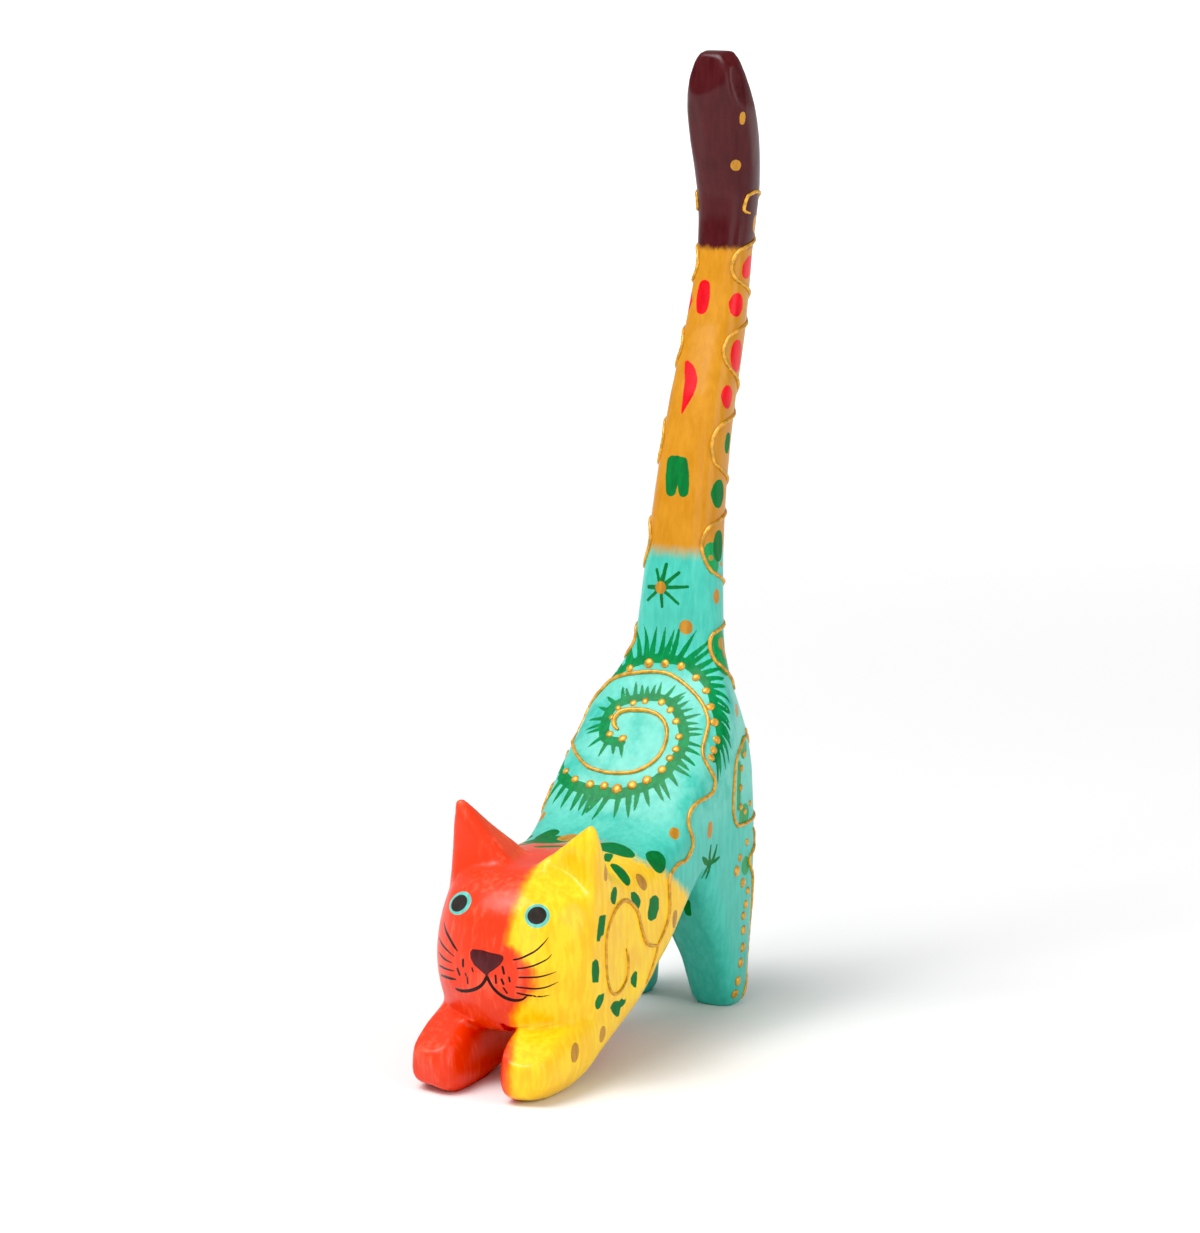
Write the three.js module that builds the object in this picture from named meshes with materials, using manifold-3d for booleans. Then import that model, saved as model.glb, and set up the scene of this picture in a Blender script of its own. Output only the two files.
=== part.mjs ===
// A cat carved from one block of light wood and painted, whose tall raised tail holds finger rings.
// Millimetres. +Z is up, the cat looks along -Y and its left side is +X. The origin is the centre of the
// bounding box at floor height.
import * as THREE from 'three';
import { LoftGeometry } from 'three/addons/geometries/LoftGeometry.js';
import { mergeVertices } from 'three/addons/utils/BufferGeometryUtils.js';
import Module from 'manifold-3d';

// Driving dimensions
const HEIGHT = 200;            // floor to the top of the tail
const HALF_BLOCK = 17.4;       // half the thickness of the block that the side profile is sawn from
const BODY_POINTS = 36;        // points round a section of the body, the tail or the head
const LEG_POINTS = 24;         // points round a section of a leg
const ROWS_PER_STATION = 2;    // rows of the body's skin from one station to the next
const HUGE = 400;              // side of the box that cuts the soles flat
const WELD = 1e-4;             // points nearer than this are one point

// The trunk, from the chest back to the rump, then up the tail. Each station is the section's back edge and
// belly edge in the side profile, its half width and the squareness of its two halves: 2 is an ellipse, 4 and
// over a rounded rectangle.
const trunk = [
  { back: [-22.0, 43.2], belly: [-24.0, 12.6], half: 16.8, backSquare: 3.6, bellySquare: 3.6 },
  { back: [-12.0, 43.4], belly: [-14.0, 11.6], half: 17.3, backSquare: 4.2, bellySquare: 4.0 },
  { back: [-3.0, 42.5], belly: [-5.0, 11.4], half: HALF_BLOCK, backSquare: 4.5, bellySquare: 4.5 },
  { back: [5.0, 42.8], belly: [2.4, 14.9], half: HALF_BLOCK, backSquare: 4.5, bellySquare: 4.5 },
  { back: [11.5, 46.1], belly: [8.2, 19.2], half: HALF_BLOCK, backSquare: 4.5, bellySquare: 5.0 },
  { back: [17.0, 51.4], belly: [14.0, 24.4], half: HALF_BLOCK, backSquare: 4.6, bellySquare: 5.0 },
  { back: [21.5, 56.0], belly: [22.0, 29.2], half: HALF_BLOCK, backSquare: 4.8, bellySquare: 4.5 },
  { back: [25.5, 59.6], belly: [33.0, 32.0], half: HALF_BLOCK, backSquare: 5.0, bellySquare: 5.0 },
  { back: [29.0, 62.6], belly: [44.4, 37.5], half: HALF_BLOCK, backSquare: 5.2, bellySquare: 6.0 },
  { back: [32.0, 65.6], belly: [48.2, 47.0], half: 16.9, backSquare: 5.2, bellySquare: 6.0 },
  { back: [35.0, 68.7], belly: [48.0, 57.5], half: 15.3, backSquare: 4.2, bellySquare: 5.0 },
  { back: [37.6, 72.4], belly: [47.6, 66.5], half: 12.5, backSquare: 3.8, bellySquare: 4.0 },
];
const tail = [
  { back: [39.2, 77.5], belly: [48.8, 75.5], half: 9.9, backSquare: 3.1, bellySquare: 3.1 },
  { back: [39.4, 84.5], belly: [50.4, 83.5], half: 9.0, backSquare: 3.0, bellySquare: 3.0 },
  { back: [40.8, 96.5], belly: [52.2, 95.5], half: 8.0, backSquare: 3.0, bellySquare: 3.0 },
  { back: [43.8, 111.5], belly: [55.0, 109.5], half: 7.3, backSquare: 2.9, bellySquare: 2.9 },
  { back: [49.0, 128.5], belly: [59.6, 125.5], half: 6.8, backSquare: 2.8, bellySquare: 2.8 },
  { back: [55.4, 143.0], belly: [65.2, 140.5], half: 6.3, backSquare: 2.8, bellySquare: 2.8 },
  { back: [59.9, 158.2], belly: [69.3, 157.2], half: 5.7, backSquare: 2.8, bellySquare: 2.8 },
  { back: [61.1, 170.0], belly: [71.1, 170.6], half: 6.5, backSquare: 3.0, bellySquare: 3.0 },
  { back: [59.0, 180.0], belly: [69.6, 181.6], half: 7.1, backSquare: 3.2, bellySquare: 3.2 },
  { back: [57.4, 187.5], belly: [67.2, 188.8], half: 7.0, backSquare: 3.4, bellySquare: 3.4 },
  { back: [56.8, 193.6], belly: [64.8, 194.6], half: 6.0, backSquare: 3.4, bellySquare: 3.4 },
  { back: [57.6, 197.8], belly: [63.4, 198.4], half: 4.7, backSquare: 3.2, bellySquare: 3.2 },
  { back: [58.6, HEIGHT - 0.2], belly: [62.4, HEIGHT], half: 3.6, backSquare: 3.0, bellySquare: 3.0 },
];

// The head, from the jaw up to the crown: where the face is in front, how far back it has rounded into the
// flanks, where the section ends at the neck, and its half width.
const FACE_SQUARE = 2.05;
const NECK_SQUARE = 4.0;
const head = [
  { z: 11.4, face: -33.6, rounding: 15.0, neck: -6.0, half: 14.6 },
  { z: 12.2, face: -36.0, rounding: 16.4, neck: -4.0, half: 16.2 },
  { z: 14.0, face: -38.0, rounding: 17.4, neck: -3.0, half: 17.0 },
  { z: 16.5, face: -39.1, rounding: 17.4, neck: -2.0, half: 17.3 },
  { z: 20.0, face: -39.7, rounding: 15.6, neck: -1.0, half: HALF_BLOCK },
  { z: 25.0, face: -39.8, rounding: 14.0, neck: -1.0, half: HALF_BLOCK },
  { z: 30.0, face: -39.0, rounding: 14.2, neck: -1.0, half: HALF_BLOCK },
  { z: 33.5, face: -38.3, rounding: 15.6, neck: -4.0, half: 17.35 },
  { z: 36.4, face: -37.3, rounding: 17.0, neck: -7.0, half: 17.2 },
  { z: 39.0, face: -35.2, rounding: 17.0, neck: -11.0, half: 16.8 },
  { z: 41.0, face: -32.6, rounding: 15.6, neck: -14.5, half: 15.8 },
  { z: 42.4, face: -29.6, rounding: 12.6, neck: -17.0, half: 13.6 },
  { z: 43.2, face: -26.8, rounding: 8.6, neck: -18.5, half: 10.0 },
];

// A rear leg, from the sole up: front and rear in the side profile, inner and outer side, and squareness
const rearLeg = [
  { z: 0.0, front: 38.8, rear: 45.6, inner: 5.9, outer: 14.8, square: 3.2 },
  { z: 1.6, front: 37.8, rear: 46.6, inner: 5.0, outer: 15.9, square: 3.3 },
  { z: 11.0, front: 33.4, rear: 47.5, inner: 4.3, outer: 16.6, square: 3.5 },
  { z: 18.0, front: 29.6, rear: 48.0, inner: 2.8, outer: 17.0, square: 3.8 },
  { z: 24.0, front: 26.2, rear: 48.4, inner: -1.0, outer: 17.3, square: 4.4 },
  { z: 31.0, front: 22.4, rear: 48.8, inner: -1.5, outer: HALF_BLOCK, square: 5.0 },
  { z: 39.0, front: 23.0, rear: 48.9, inner: -1.5, outer: HALF_BLOCK, square: 5.0 },
  { z: 47.0, front: 28.0, rear: 48.5, inner: -1.5, outer: 17.2, square: 4.5 },
  { z: 56.0, front: 35.0, rear: 46.8, inner: -1.5, outer: 15.6, square: 4.0 },
];

// A foreleg, from the tip of the paw back to the elbow: bottom and top, inner and outer side. It is flat on
// top and rounded below.
const FORELEG_TOP_SQUARE = 2.7;
const FORELEG_SOLE_SQUARE = 1.8;
const foreleg = [
  { y: -46.2, bottom: 3.4, top: 6.6, inner: 8.4, outer: 11.6 },
  { y: -45.4, bottom: 2.4, top: 8.8, inner: 6.5, outer: 13.3 },
  { y: -43.6, bottom: 1.2, top: 11.0, inner: 5.3, outer: 14.8 },
  { y: -41.0, bottom: 0.2, top: 12.1, inner: 4.9, outer: 15.6 },
  { y: -37.0, bottom: -0.4, top: 13.7, inner: 4.8, outer: 16.3 },
  { y: -31.0, bottom: -0.4, top: 15.6, inner: 4.8, outer: 16.9 },
  { y: -26.0, bottom: 0.6, top: 17.0, inner: 4.8, outer: 17.3 },
  { y: -20.0, bottom: 3.8, top: 18.0, inner: 4.7, outer: HALF_BLOCK },
  { y: -13.0, bottom: 6.6, top: 20.0, inner: 4.2, outer: HALF_BLOCK },
  { y: -6.5, bottom: 9.2, top: 22.0, inner: 3.4, outer: HALF_BLOCK },
  { y: 0.0, bottom: 13.0, top: 25.0, inner: 2.4, outer: 17.3 },
  { y: 7.0, bottom: 20.2, top: 30.0, inner: 2.0, outer: 16.6 },
];

// An ear is a four-sided spike with its outer side flush with the flank. Its base is given from the front
// outer corner inwards and round to the rear. The right ear is the taller one.
const EAR_ROWS = 6;            // rows of an ear's skin from base to tip
const EAR_CORNER_CUT = 0.14;   // how much of each side the rounding of an ear's corner takes
const EAR_BLUNTNESS = 0.07;    // how much of the spike is left off at its tip
const EAR_SWELL = 0.015;       // how much wider an ear stands at half height than straight sides would
const leftEar = {
  tip: new THREE.Vector3(15.8, -24.2, 53.4),
  base: [
    new THREE.Vector3(17.1, -29.0, 34.6),
    new THREE.Vector3(0.2, -26.6, 42.2),
    new THREE.Vector3(2.5, -11.0, 41.5),
    new THREE.Vector3(17.0, -15.5, 37.0),
  ],
};
const rightEar = {
  tip: new THREE.Vector3(-15.1, -24.3, 55.9),
  base: [
    new THREE.Vector3(-16.4, -27.8, 34.6),
    new THREE.Vector3(-0.8, -26.8, 42.0),
    new THREE.Vector3(-2.0, -10.0, 40.5),
    new THREE.Vector3(-16.8, -13.5, 37.0),
  ],
};

const wasm = await Module();
wasm.setup();

const power = (value, exponent) => Math.sign(value) * Math.abs(value) ** exponent;

// A ring of points whose two halves are superellipses: `across` is the shared half axis, `rise` and `drop` are
// the half axes of the two halves, each with its own squareness
function sectionRing({ centre, across, rise, drop, riseSquare, dropSquare }, count) {
  return Array.from({ length: count }, (_, i) => {
    const angle = (i / count) * 2 * Math.PI;
    const rising = Math.sin(angle) >= 0;
    const exponent = 2 / (rising ? riseSquare : dropSquare);
    return centre.clone()
      .addScaledVector(across, power(Math.cos(angle), exponent))
      .addScaledVector(rising ? rise : drop, Math.abs(Math.sin(angle)) ** exponent);
  });
}

// A closed surface as a solid that can be joined and cut
function solid(geometry) {
  const bare = new THREE.BufferGeometry()
    .setIndex(geometry.index)
    .setAttribute('position', geometry.getAttribute('position'));
  const merged = mergeVertices(bare, WELD);
  return new wasm.Manifold(new wasm.Mesh({
    numProp: 3,
    vertProperties: merged.attributes.position.array,
    triVerts: new Uint32Array(merged.index.array),
  }));
}

// Skins a row of rings, each turned the way round that makes the faces point outwards
function loft(rings) {
  const [first, second] = rings;
  const normal = new THREE.Vector3();
  first.forEach((point, i) => normal.add(point.clone().cross(first[(i + 1) % first.length])));
  const advance = second[0].clone().sub(first[0]);
  const facing = normal.dot(advance) > 0 ? rings : rings.map((ring) => ring.slice().reverse());
  return solid(new LoftGeometry(facing, { capStart: true, capEnd: true }));
}

// A smooth path through the points that `read` takes from the stations
function smooth(stations, read) {
  return new THREE.CatmullRomCurve3(stations.map(read), false, 'centripetal');
}

function trunkAndTailSolid() {
  const stations = [...trunk, ...tail];
  const backLine = smooth(stations, (s) => new THREE.Vector3(0, s.back[0], s.back[1]));
  const bellyLine = smooth(stations, (s) => new THREE.Vector3(0, s.belly[0], s.belly[1]));
  const shape = smooth(stations, (s) => new THREE.Vector3(s.half, s.backSquare, s.bellySquare));
  const rows = (stations.length - 1) * ROWS_PER_STATION;
  const rings = Array.from({ length: rows + 1 }, (_, row) => {
    const back = backLine.getPoint(row / rows);
    const belly = bellyLine.getPoint(row / rows);
    const { x: half, y: riseSquare, z: dropSquare } = shape.getPoint(row / rows);
    const centre = back.clone().add(belly).multiplyScalar(0.5);
    return sectionRing({
      centre,
      across: new THREE.Vector3(half, 0, 0),
      rise: back.clone().sub(centre),
      drop: belly.clone().sub(centre),
      riseSquare,
      dropSquare,
    }, BODY_POINTS);
  });
  return loft(rings);
}

function headSolid() {
  const faceLine = smooth(head, (s) => new THREE.Vector3(s.rounding, s.face, s.z));
  const neckLine = smooth(head, (s) => new THREE.Vector3(s.half, s.neck, s.z));
  const rows = (head.length - 1) * ROWS_PER_STATION;
  const rings = Array.from({ length: rows + 1 }, (_, row) => {
    const { x: rounding, y: face, z } = faceLine.getPoint(row / rows);
    const { x: half, y: neck } = neckLine.getPoint(row / rows);
    const widest = face + rounding;
    return sectionRing({
      centre: new THREE.Vector3(0, widest, z),
      across: new THREE.Vector3(half, 0, 0),
      rise: new THREE.Vector3(0, -rounding, 0),
      drop: new THREE.Vector3(0, neck - widest, 0),
      riseSquare: FACE_SQUARE,
      dropSquare: NECK_SQUARE,
    }, BODY_POINTS);
  });
  return loft(rings);
}

// A rear leg on the side given by 1 for left or -1 for right
function rearLegSolid(side) {
  const rings = rearLeg.map(({ z, front, rear, inner, outer, square }) => sectionRing({
    centre: new THREE.Vector3(side * (inner + outer) / 2, (front + rear) / 2, z),
    across: new THREE.Vector3((outer - inner) / 2, 0, 0),
    rise: new THREE.Vector3(0, (rear - front) / 2, 0),
    drop: new THREE.Vector3(0, (front - rear) / 2, 0),
    riseSquare: square,
    dropSquare: square,
  }, LEG_POINTS));
  return loft(rings);
}

function forelegSolid(side) {
  const rings = foreleg.map(({ y, bottom, top, inner, outer }) => sectionRing({
    centre: new THREE.Vector3(side * (inner + outer) / 2, y, (bottom + top) / 2),
    across: new THREE.Vector3((outer - inner) / 2, 0, 0),
    rise: new THREE.Vector3(0, 0, (top - bottom) / 2),
    drop: new THREE.Vector3(0, 0, (bottom - top) / 2),
    riseSquare: FORELEG_TOP_SQUARE,
    dropSquare: FORELEG_SOLE_SQUARE,
  }, LEG_POINTS));
  return loft(rings);
}

// A polygon with its corners cut back, as twice as many points
function cutPolygon(corners, cut) {
  const { length } = corners;
  return corners.flatMap((corner, i) => {
    const before = corners[(i + length - 1) % length];
    const after = corners[(i + 1) % length];
    return [corner.clone().lerp(before, cut), corner.clone().lerp(after, cut)];
  });
}

function earSolid({ tip, base }) {
  const rings = Array.from({ length: EAR_ROWS }, (_, row) => {
    const share = (row / (EAR_ROWS - 1)) * (1 - EAR_BLUNTNESS);
    const widening = new THREE.Vector3(1 + EAR_SWELL * 4 * share * (1 - share), 1, 1);
    const corners = base.map((corner) => corner.clone().lerp(tip, share).multiply(widening));
    return cutPolygon(corners, EAR_CORNER_CUT);
  });
  return loft(rings);
}

function belowFloor() {
  return solid(new THREE.BoxGeometry(HUGE, HUGE, HUGE).translate(0, 0, -HUGE / 2));
}

function catSolid() {
  let cat = trunkAndTailSolid().add(headSolid()).add(earSolid(leftEar)).add(earSolid(rightEar));
  for (const side of [1, -1]) {
    cat = cat.add(rearLegSolid(side)).add(forelegSolid(side));
  }
  return cat.subtract(belowFloor());
}

function geometryOf(made) {
  const { vertProperties, triVerts } = made.getMesh();
  return new THREE.BufferGeometry()
    .setAttribute('position', new THREE.BufferAttribute(new Float32Array(vertProperties), 3))
    .setIndex(new THREE.BufferAttribute(new Uint32Array(triVerts), 1));
}

// Puts the origin at the centre of the bounding box, on the floor
function standOnOrigin(geometry) {
  geometry.computeBoundingBox();
  const { min, max } = geometry.boundingBox;
  return geometry.translate(-(min.x + max.x) / 2, -(min.y + max.y) / 2, -min.z);
}

const geometry = standOnOrigin(geometryOf(catSolid()));
geometry.computeVertexNormals();

const cat = new THREE.Mesh(
  geometry,
  new THREE.MeshStandardMaterial({ color: 0x4fcab4, roughness: 0.38, metalness: 0 }),
);
cat.name = 'carved_cat';

const root = new THREE.Group();
root.add(cat);
export default root;
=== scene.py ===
"""A carved and painted wooden cat, low in front, with its tail held high as a post for finger rings.

One piece of light wood carries all the paint. The raised gold lines and dots are a second piece laid on it.
Places read from the photograph are in its pixels, and each is laid on the carving along the line of sight.
"""

import math
import random

import bmesh
import bpy
import numpy as np
from mathutils import Matrix, Vector
from mathutils.bvhtree import BVHTree


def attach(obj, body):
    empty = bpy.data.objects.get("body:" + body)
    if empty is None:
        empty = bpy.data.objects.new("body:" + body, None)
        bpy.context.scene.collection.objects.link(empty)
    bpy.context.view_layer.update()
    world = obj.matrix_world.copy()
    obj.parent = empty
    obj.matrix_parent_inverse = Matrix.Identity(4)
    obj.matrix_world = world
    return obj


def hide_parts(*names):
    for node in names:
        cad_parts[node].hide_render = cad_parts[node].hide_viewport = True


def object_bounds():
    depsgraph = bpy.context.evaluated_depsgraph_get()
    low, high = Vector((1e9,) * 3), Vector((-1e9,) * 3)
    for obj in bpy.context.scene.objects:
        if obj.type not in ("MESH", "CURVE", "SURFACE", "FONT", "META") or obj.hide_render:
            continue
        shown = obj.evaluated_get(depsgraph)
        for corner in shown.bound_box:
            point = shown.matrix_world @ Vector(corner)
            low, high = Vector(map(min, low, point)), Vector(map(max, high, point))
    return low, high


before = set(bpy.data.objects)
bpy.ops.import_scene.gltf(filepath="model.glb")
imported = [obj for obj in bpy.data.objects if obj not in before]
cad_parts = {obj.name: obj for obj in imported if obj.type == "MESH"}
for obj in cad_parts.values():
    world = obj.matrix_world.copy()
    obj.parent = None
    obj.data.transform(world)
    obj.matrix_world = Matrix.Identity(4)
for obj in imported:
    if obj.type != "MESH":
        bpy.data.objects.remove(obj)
CAD_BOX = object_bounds()

MM = 0.001

# The photograph and the camera that took it
PHOTO_WIDTH = 1200
PHOTO_HEIGHT = 1233
FOCAL_PIXELS = 4463.0
SENSOR = 36.0
CAMERA_TURN = math.radians(28.0)       # round towards the cat's left
CAMERA_RISE = math.radians(10.76)      # above level
CAMERA_AIM = Vector((4.37, -12.45, 89.98)) * MM
CAMERA_DISTANCE = 900 * MM

# The carving's skin
SKIN_GRAIN = 0.68 * MM                 # side of the skin's cells
SOFTENING_ROUNDS = 5                   # how far the knife's edges are sanded down
NEAR_MARK = 0.55                       # mm round a mark's edge where the skin is finer
FAR_OFF = 1.6                          # mm, the most that a mark's edge distance says
SOLE_REACH = 0.22 * MM                 # skin this near the floor lies flat on it

# Paint, as red, green and blue from 0 to 255
TURQUOISE = (60, 178, 160)
PALE_TURQUOISE = (84, 200, 182)
# The next colour is a painted highlight: whitish turquoise laid in patches on the back for the gloss of the
# light there.
HIGHLIGHT_TURQUOISE = (150, 222, 206)
DEEP_TURQUOISE = (30, 156, 138)
YELLOW = (250, 210, 44)
DEEP_YELLOW = (244, 190, 34)
RED = (229, 62, 33)
PINK_RED = (240, 96, 66)
ORANGE = (246, 120, 22)
OCHRE = (204, 140, 36)
DEEP_OCHRE = (190, 126, 28)
MAROON = (80, 24, 27)
DEEP_MAROON = (66, 18, 22)
LEAF_GREEN = (2, 118, 50)
FRINGE_GREEN = (0, 138, 72)
BRIGHT_GREEN = (4, 158, 84)
PEPPER_RED = (236, 18, 34)
OLD_GOLD = (196, 138, 44)
EYE_BLUE = (108, 208, 194)
NOSE_MAROON = (86, 32, 36)
INK = (34, 10, 10)
# Pupil paint, lightened a little: partly the pupils' own dark grey, partly painted sheen.
PUPIL_GREY_AND_SHEEN = (54, 48, 45)
BARE_WOOD = (206, 160, 104)
GOLD_LINER = (232, 172, 66)
FLOOR_WHITE = (242, 242, 242)
FLOOR_GLOW = 0.85                      # light that the far end of the paper sends back from its own lamps
GLOW_STARTS = 0.16                     # m from the cat
GLOW_FULL = 1.6
HAZE = 0.016                           # lens haze taken off the finished picture

# Lights: a name, a place in m, the side in m and the power in W
LIGHTS = (
    ("key", (-0.40, -0.56, 1.28), 1.0, 17),
    ("window", (-0.42, -0.60, 1.28), 0.28, 2.2),
    ("fill", (0.5, -1.5, 0.45), 0.8, 3.2),
    ("side fill", (1.3, -0.2, 0.6), 0.9, 6.0),
)
ROOM_LIGHT = 0.42


def camera_axes():
    """The camera's right, up and backward directions."""
    right = Vector((math.cos(CAMERA_TURN), math.sin(CAMERA_TURN), 0))
    level = math.cos(CAMERA_RISE)
    back = Vector((math.sin(CAMERA_TURN) * level, -math.cos(CAMERA_TURN) * level, math.sin(CAMERA_RISE)))
    return right, back.cross(right), back


RIGHT, UP, BACK = camera_axes()
EYE = CAMERA_AIM + BACK * CAMERA_DISTANCE


def linear(colour):
    """A colour given as 0 to 255 on a screen, as the light that paint sends back."""
    shares = [part / 255 for part in colour]
    return (*[s / 12.92 if s <= 0.04045 else ((s + 0.055) / 1.055) ** 2.4 for s in shares], 1.0)


# The skin

def carved_skin():
    """A bmesh of the carving in small even cells, with its edges softly rounded."""
    merged = bmesh.new()
    merged.from_mesh(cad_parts["carved_cat"].data)
    bmesh.ops.remove_doubles(merged, verts=merged.verts, dist=0.002 * MM)
    mesh = bpy.data.meshes.new("block")
    merged.to_mesh(mesh)
    merged.free()
    block = bpy.data.objects.new("block", mesh)
    bpy.context.scene.collection.objects.link(block)
    remesh = block.modifiers.new("even cells", "REMESH")
    remesh.mode = "VOXEL"
    remesh.voxel_size = SKIN_GRAIN
    bpy.context.view_layer.update()
    fine = bpy.data.meshes.new_from_object(block.evaluated_get(bpy.context.evaluated_depsgraph_get()))
    bpy.data.objects.remove(block)
    skin = bmesh.new()
    skin.from_mesh(fine)
    bpy.data.meshes.remove(fine)
    for _ in range(SOFTENING_ROUNDS):
        soften(skin)
    square_paw_corners(skin)
    deepen_between_paws(skin)
    swell_ear_tips(skin)
    for facet in KNIFE_FACETS:
        shave(skin, *facet)
    surface = Surface(skin)
    for pixel, depth, reach in SEEN_FACETS:
        place, facing = surface.broad_touch(pixel)
        shave(skin, (place - facing * depth * MM) / MM, facing, reach)
    soften(skin)
    stretch = CAD_BOX[1].z / max(vert.co.z for vert in skin.verts)
    for vert in skin.verts:
        vert.co.z = 0 if vert.co.z < SOLE_REACH else vert.co.z * stretch
    skin.normal_update()
    return skin


def soften(skin):
    """One pass of fine sandpaper."""
    every_axis = {"use_axis_x": True, "use_axis_y": True, "use_axis_z": True}
    bmesh.ops.smooth_vert(skin, verts=skin.verts, factor=0.5, **every_axis)


def square_paw_corners(skin):
    """Fills two lower paw edges that the knife left square: the left paw's inner, the right paw's outer."""
    for vert in skin.verts:
        side = 1 if vert.co.x > 0 else -1
        along, across, height = vert.co.y / MM, abs(vert.co.x) / MM, vert.co.z / MM
        if along > PAW_BACK or height > PAW_MIDDLE:
            continue
        outward = across - PAW_CENTRE
        if outward * side > 0:
            continue
        c = min(abs(outward) / PAW_HALF_WIDTH, 1.0)
        q = min((PAW_MIDDLE - height) / PAW_MIDDLE, 1.0)
        fade = min(1.0, (PAW_BACK - along) / PAW_FADE)
        growth = 1 + (squared(c, q, ROUND_EDGE, SQUARE_EDGE) - 1) * fade
        vert.co.x = side * (PAW_CENTRE + outward * growth) * MM
        vert.co.z = max(0.0, PAW_MIDDLE - (PAW_MIDDLE - height) * growth) * MM


def squared(across, height, round_edge, square_edge):
    """How much further out a place on a rounded corner lies once the corner is cut squarer."""
    if across + height < 0.01:
        return 1.0
    round_size = (across ** round_edge + height ** round_edge) ** (1 / round_edge)
    square_size = (across ** square_edge + height ** square_edge) ** (1 / square_edge)
    return round_size / square_size


def deepen_between_paws(skin):
    """Cuts the forelegs' inner sides upright: the right one down to the floor, the left one up to the chest.

    A place's share across is c, and its share down or up is q, both from 0 to 1.
    """
    for vert in skin.verts:
        along, height = vert.co.y / MM, vert.co.z / MM
        inward = PAW_CENTRE - abs(vert.co.x) / MM
        if inward <= 0 or inward > INNER_LIMIT or along > CUT_END:
            continue
        c = min(inward / INNER_SIDE, 1.0)
        if vert.co.x < 0 and height < RIGHT_MIDDLE:
            old = np.interp(along, UNDERSIDE_ALONG, UNDERSIDE_HEIGHT)
            new = np.interp(along, UNDERSIDE_ALONG, DEEPER_HEIGHT)
            q = min((RIGHT_MIDDLE - height) / (RIGHT_MIDDLE - old), 1.0)
            fade = min(1.0, (CUT_END - along) / PAW_FADE)
            growth = 1 + (squared(c, q, ROUND_EDGE, RIGHT_SQUARE) - 1) * fade
            lower = 1 + ((RIGHT_MIDDLE - new) / (RIGHT_MIDDLE - old) - 1) * min(1.0, inward / LOWER_FADE)
            vert.co.x = -(PAW_CENTRE - inward * growth) * MM
            vert.co.z = max(0.0, RIGHT_MIDDLE - (RIGHT_MIDDLE - height) * growth * lower) * MM
        elif vert.co.x > 0 and LEFT_MIDDLE < height < LEFT_TOP and along < LEFT_CUT_END:
            q = min((height - LEFT_MIDDLE) / LEFT_RISE, 1.0)
            fade = min(1.0, (LEFT_CUT_END - along) / LEFT_FADE)
            growth = 1 + (squared(c, q, TOP_EDGE, LEFT_SQUARE) - 1) * fade
            vert.co.x = (PAW_CENTRE - inward * growth) * MM
            vert.co.z = (LEFT_MIDDLE + (height - LEFT_MIDDLE) * growth) * MM


def swell_ear_tips(skin):
    """Makes the ears' tips blunt and a little fuller."""
    skin.normal_update()
    for place, reach, amount in EAR_TIPS:
        tip = Vector(place) * MM
        for vert in skin.verts:
            nearness = 1 - (vert.co - tip).length / (reach * MM)
            if nearness > 0:
                vert.co += vert.normal * amount * MM * nearness ** 1.5


def shave(skin, place, facing, reach):
    """Cuts the skin flat, as one stroke of a knife does: what stands past the facet is pressed onto it."""
    place = Vector(place) * MM
    facing = Vector(facing).normalized()
    for vert in skin.verts:
        apart = vert.co - place
        proud = apart.dot(facing)
        if proud > 0 and apart.length < reach * MM:
            vert.co -= facing * proud * min(1.0, 4 * (1 - apart.length / (reach * MM)))


# The lower edges of the paws, in mm: where they end behind, half height, centre and half width
PAW_BACK = -36.0
PAW_MIDDLE = 6.4
PAW_CENTRE = 10.6
PAW_HALF_WIDTH = 5.6
PAW_FADE = 6.0
ROUND_EDGE = 1.8                       # powers: the higher, the squarer the edge
SQUARE_EDGE = 3.6
TOP_EDGE = 2.7

# Between the paws, in mm. The inner sides stand INNER_SIDE from the paws' centres. The cutting starts at the
# middle heights and ends behind at CUT_END. The right leg's underside comes from the block and is cut deeper.
INNER_SIDE = 5.9
INNER_LIMIT = 8.1
CUT_END = -20.0
LOWER_FADE = 2.5
RIGHT_MIDDLE = 9.6
RIGHT_SQUARE = 5.0
LEFT_MIDDLE = 6.4
LEFT_RISE = 6.8
LEFT_TOP = 14.5
LEFT_CUT_END = -40.0
LEFT_FADE = 5.0
LEFT_SQUARE = 8.0
UNDERSIDE_ALONG = (-44, -38.5, -35.5, -32.5, -29, -25.5, -22, -19)
UNDERSIDE_HEIGHT = (0.0, 0.8, 2.2, 3.8, 5.2, 6.6, 7.9, 9.2)
DEEPER_HEIGHT = (0.0, 0.0, 0.0, 0.3, 1.6, 4.0, 6.6, 9.0)

# Facets: a place on each in mm, the way it faces, and how far from the place it may reach, in mm
KNIFE_FACETS = (
    ((10.0, -52.4, 11.5), (0.11, -0.45, 0.89), 9.5),
    ((-10.0, -52.4, 11.5), (-0.11, -0.45, 0.89), 9.5),
    ((11.2, -57.6, 5.2), (0.26, -0.95, -0.14), 7.0),
    ((-11.2, -57.6, 5.2), (-0.26, -0.95, -0.14), 7.0),
)
# Ear tips, in mm: the place, how far down from it the ear is fuller, and by how much
EAR_TIPS = (((15.8, -36.6, 53.4), 10.0, 0.75), ((-15.1, -36.7, 55.9), 11.0, 0.8))
# Facets that the photograph shows: a pixel, then how deep the knife went and how far the facet reaches, in mm
SEEN_FACETS = (
    ((552, 888), 0.55, 9), ((463, 902), 0.40, 8), ((560, 948), 0.40, 9), ((545, 1004), 0.40, 8),
    ((462, 985), 0.35, 7),
    ((702, 74), 0.65, 7), ((731, 58), 0.60, 6), ((738, 84), 0.45, 9), ((743, 140), 0.35, 10),
    ((722, 120), 0.30, 9),
    ((697, 130), 0.30, 8),
)


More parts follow.
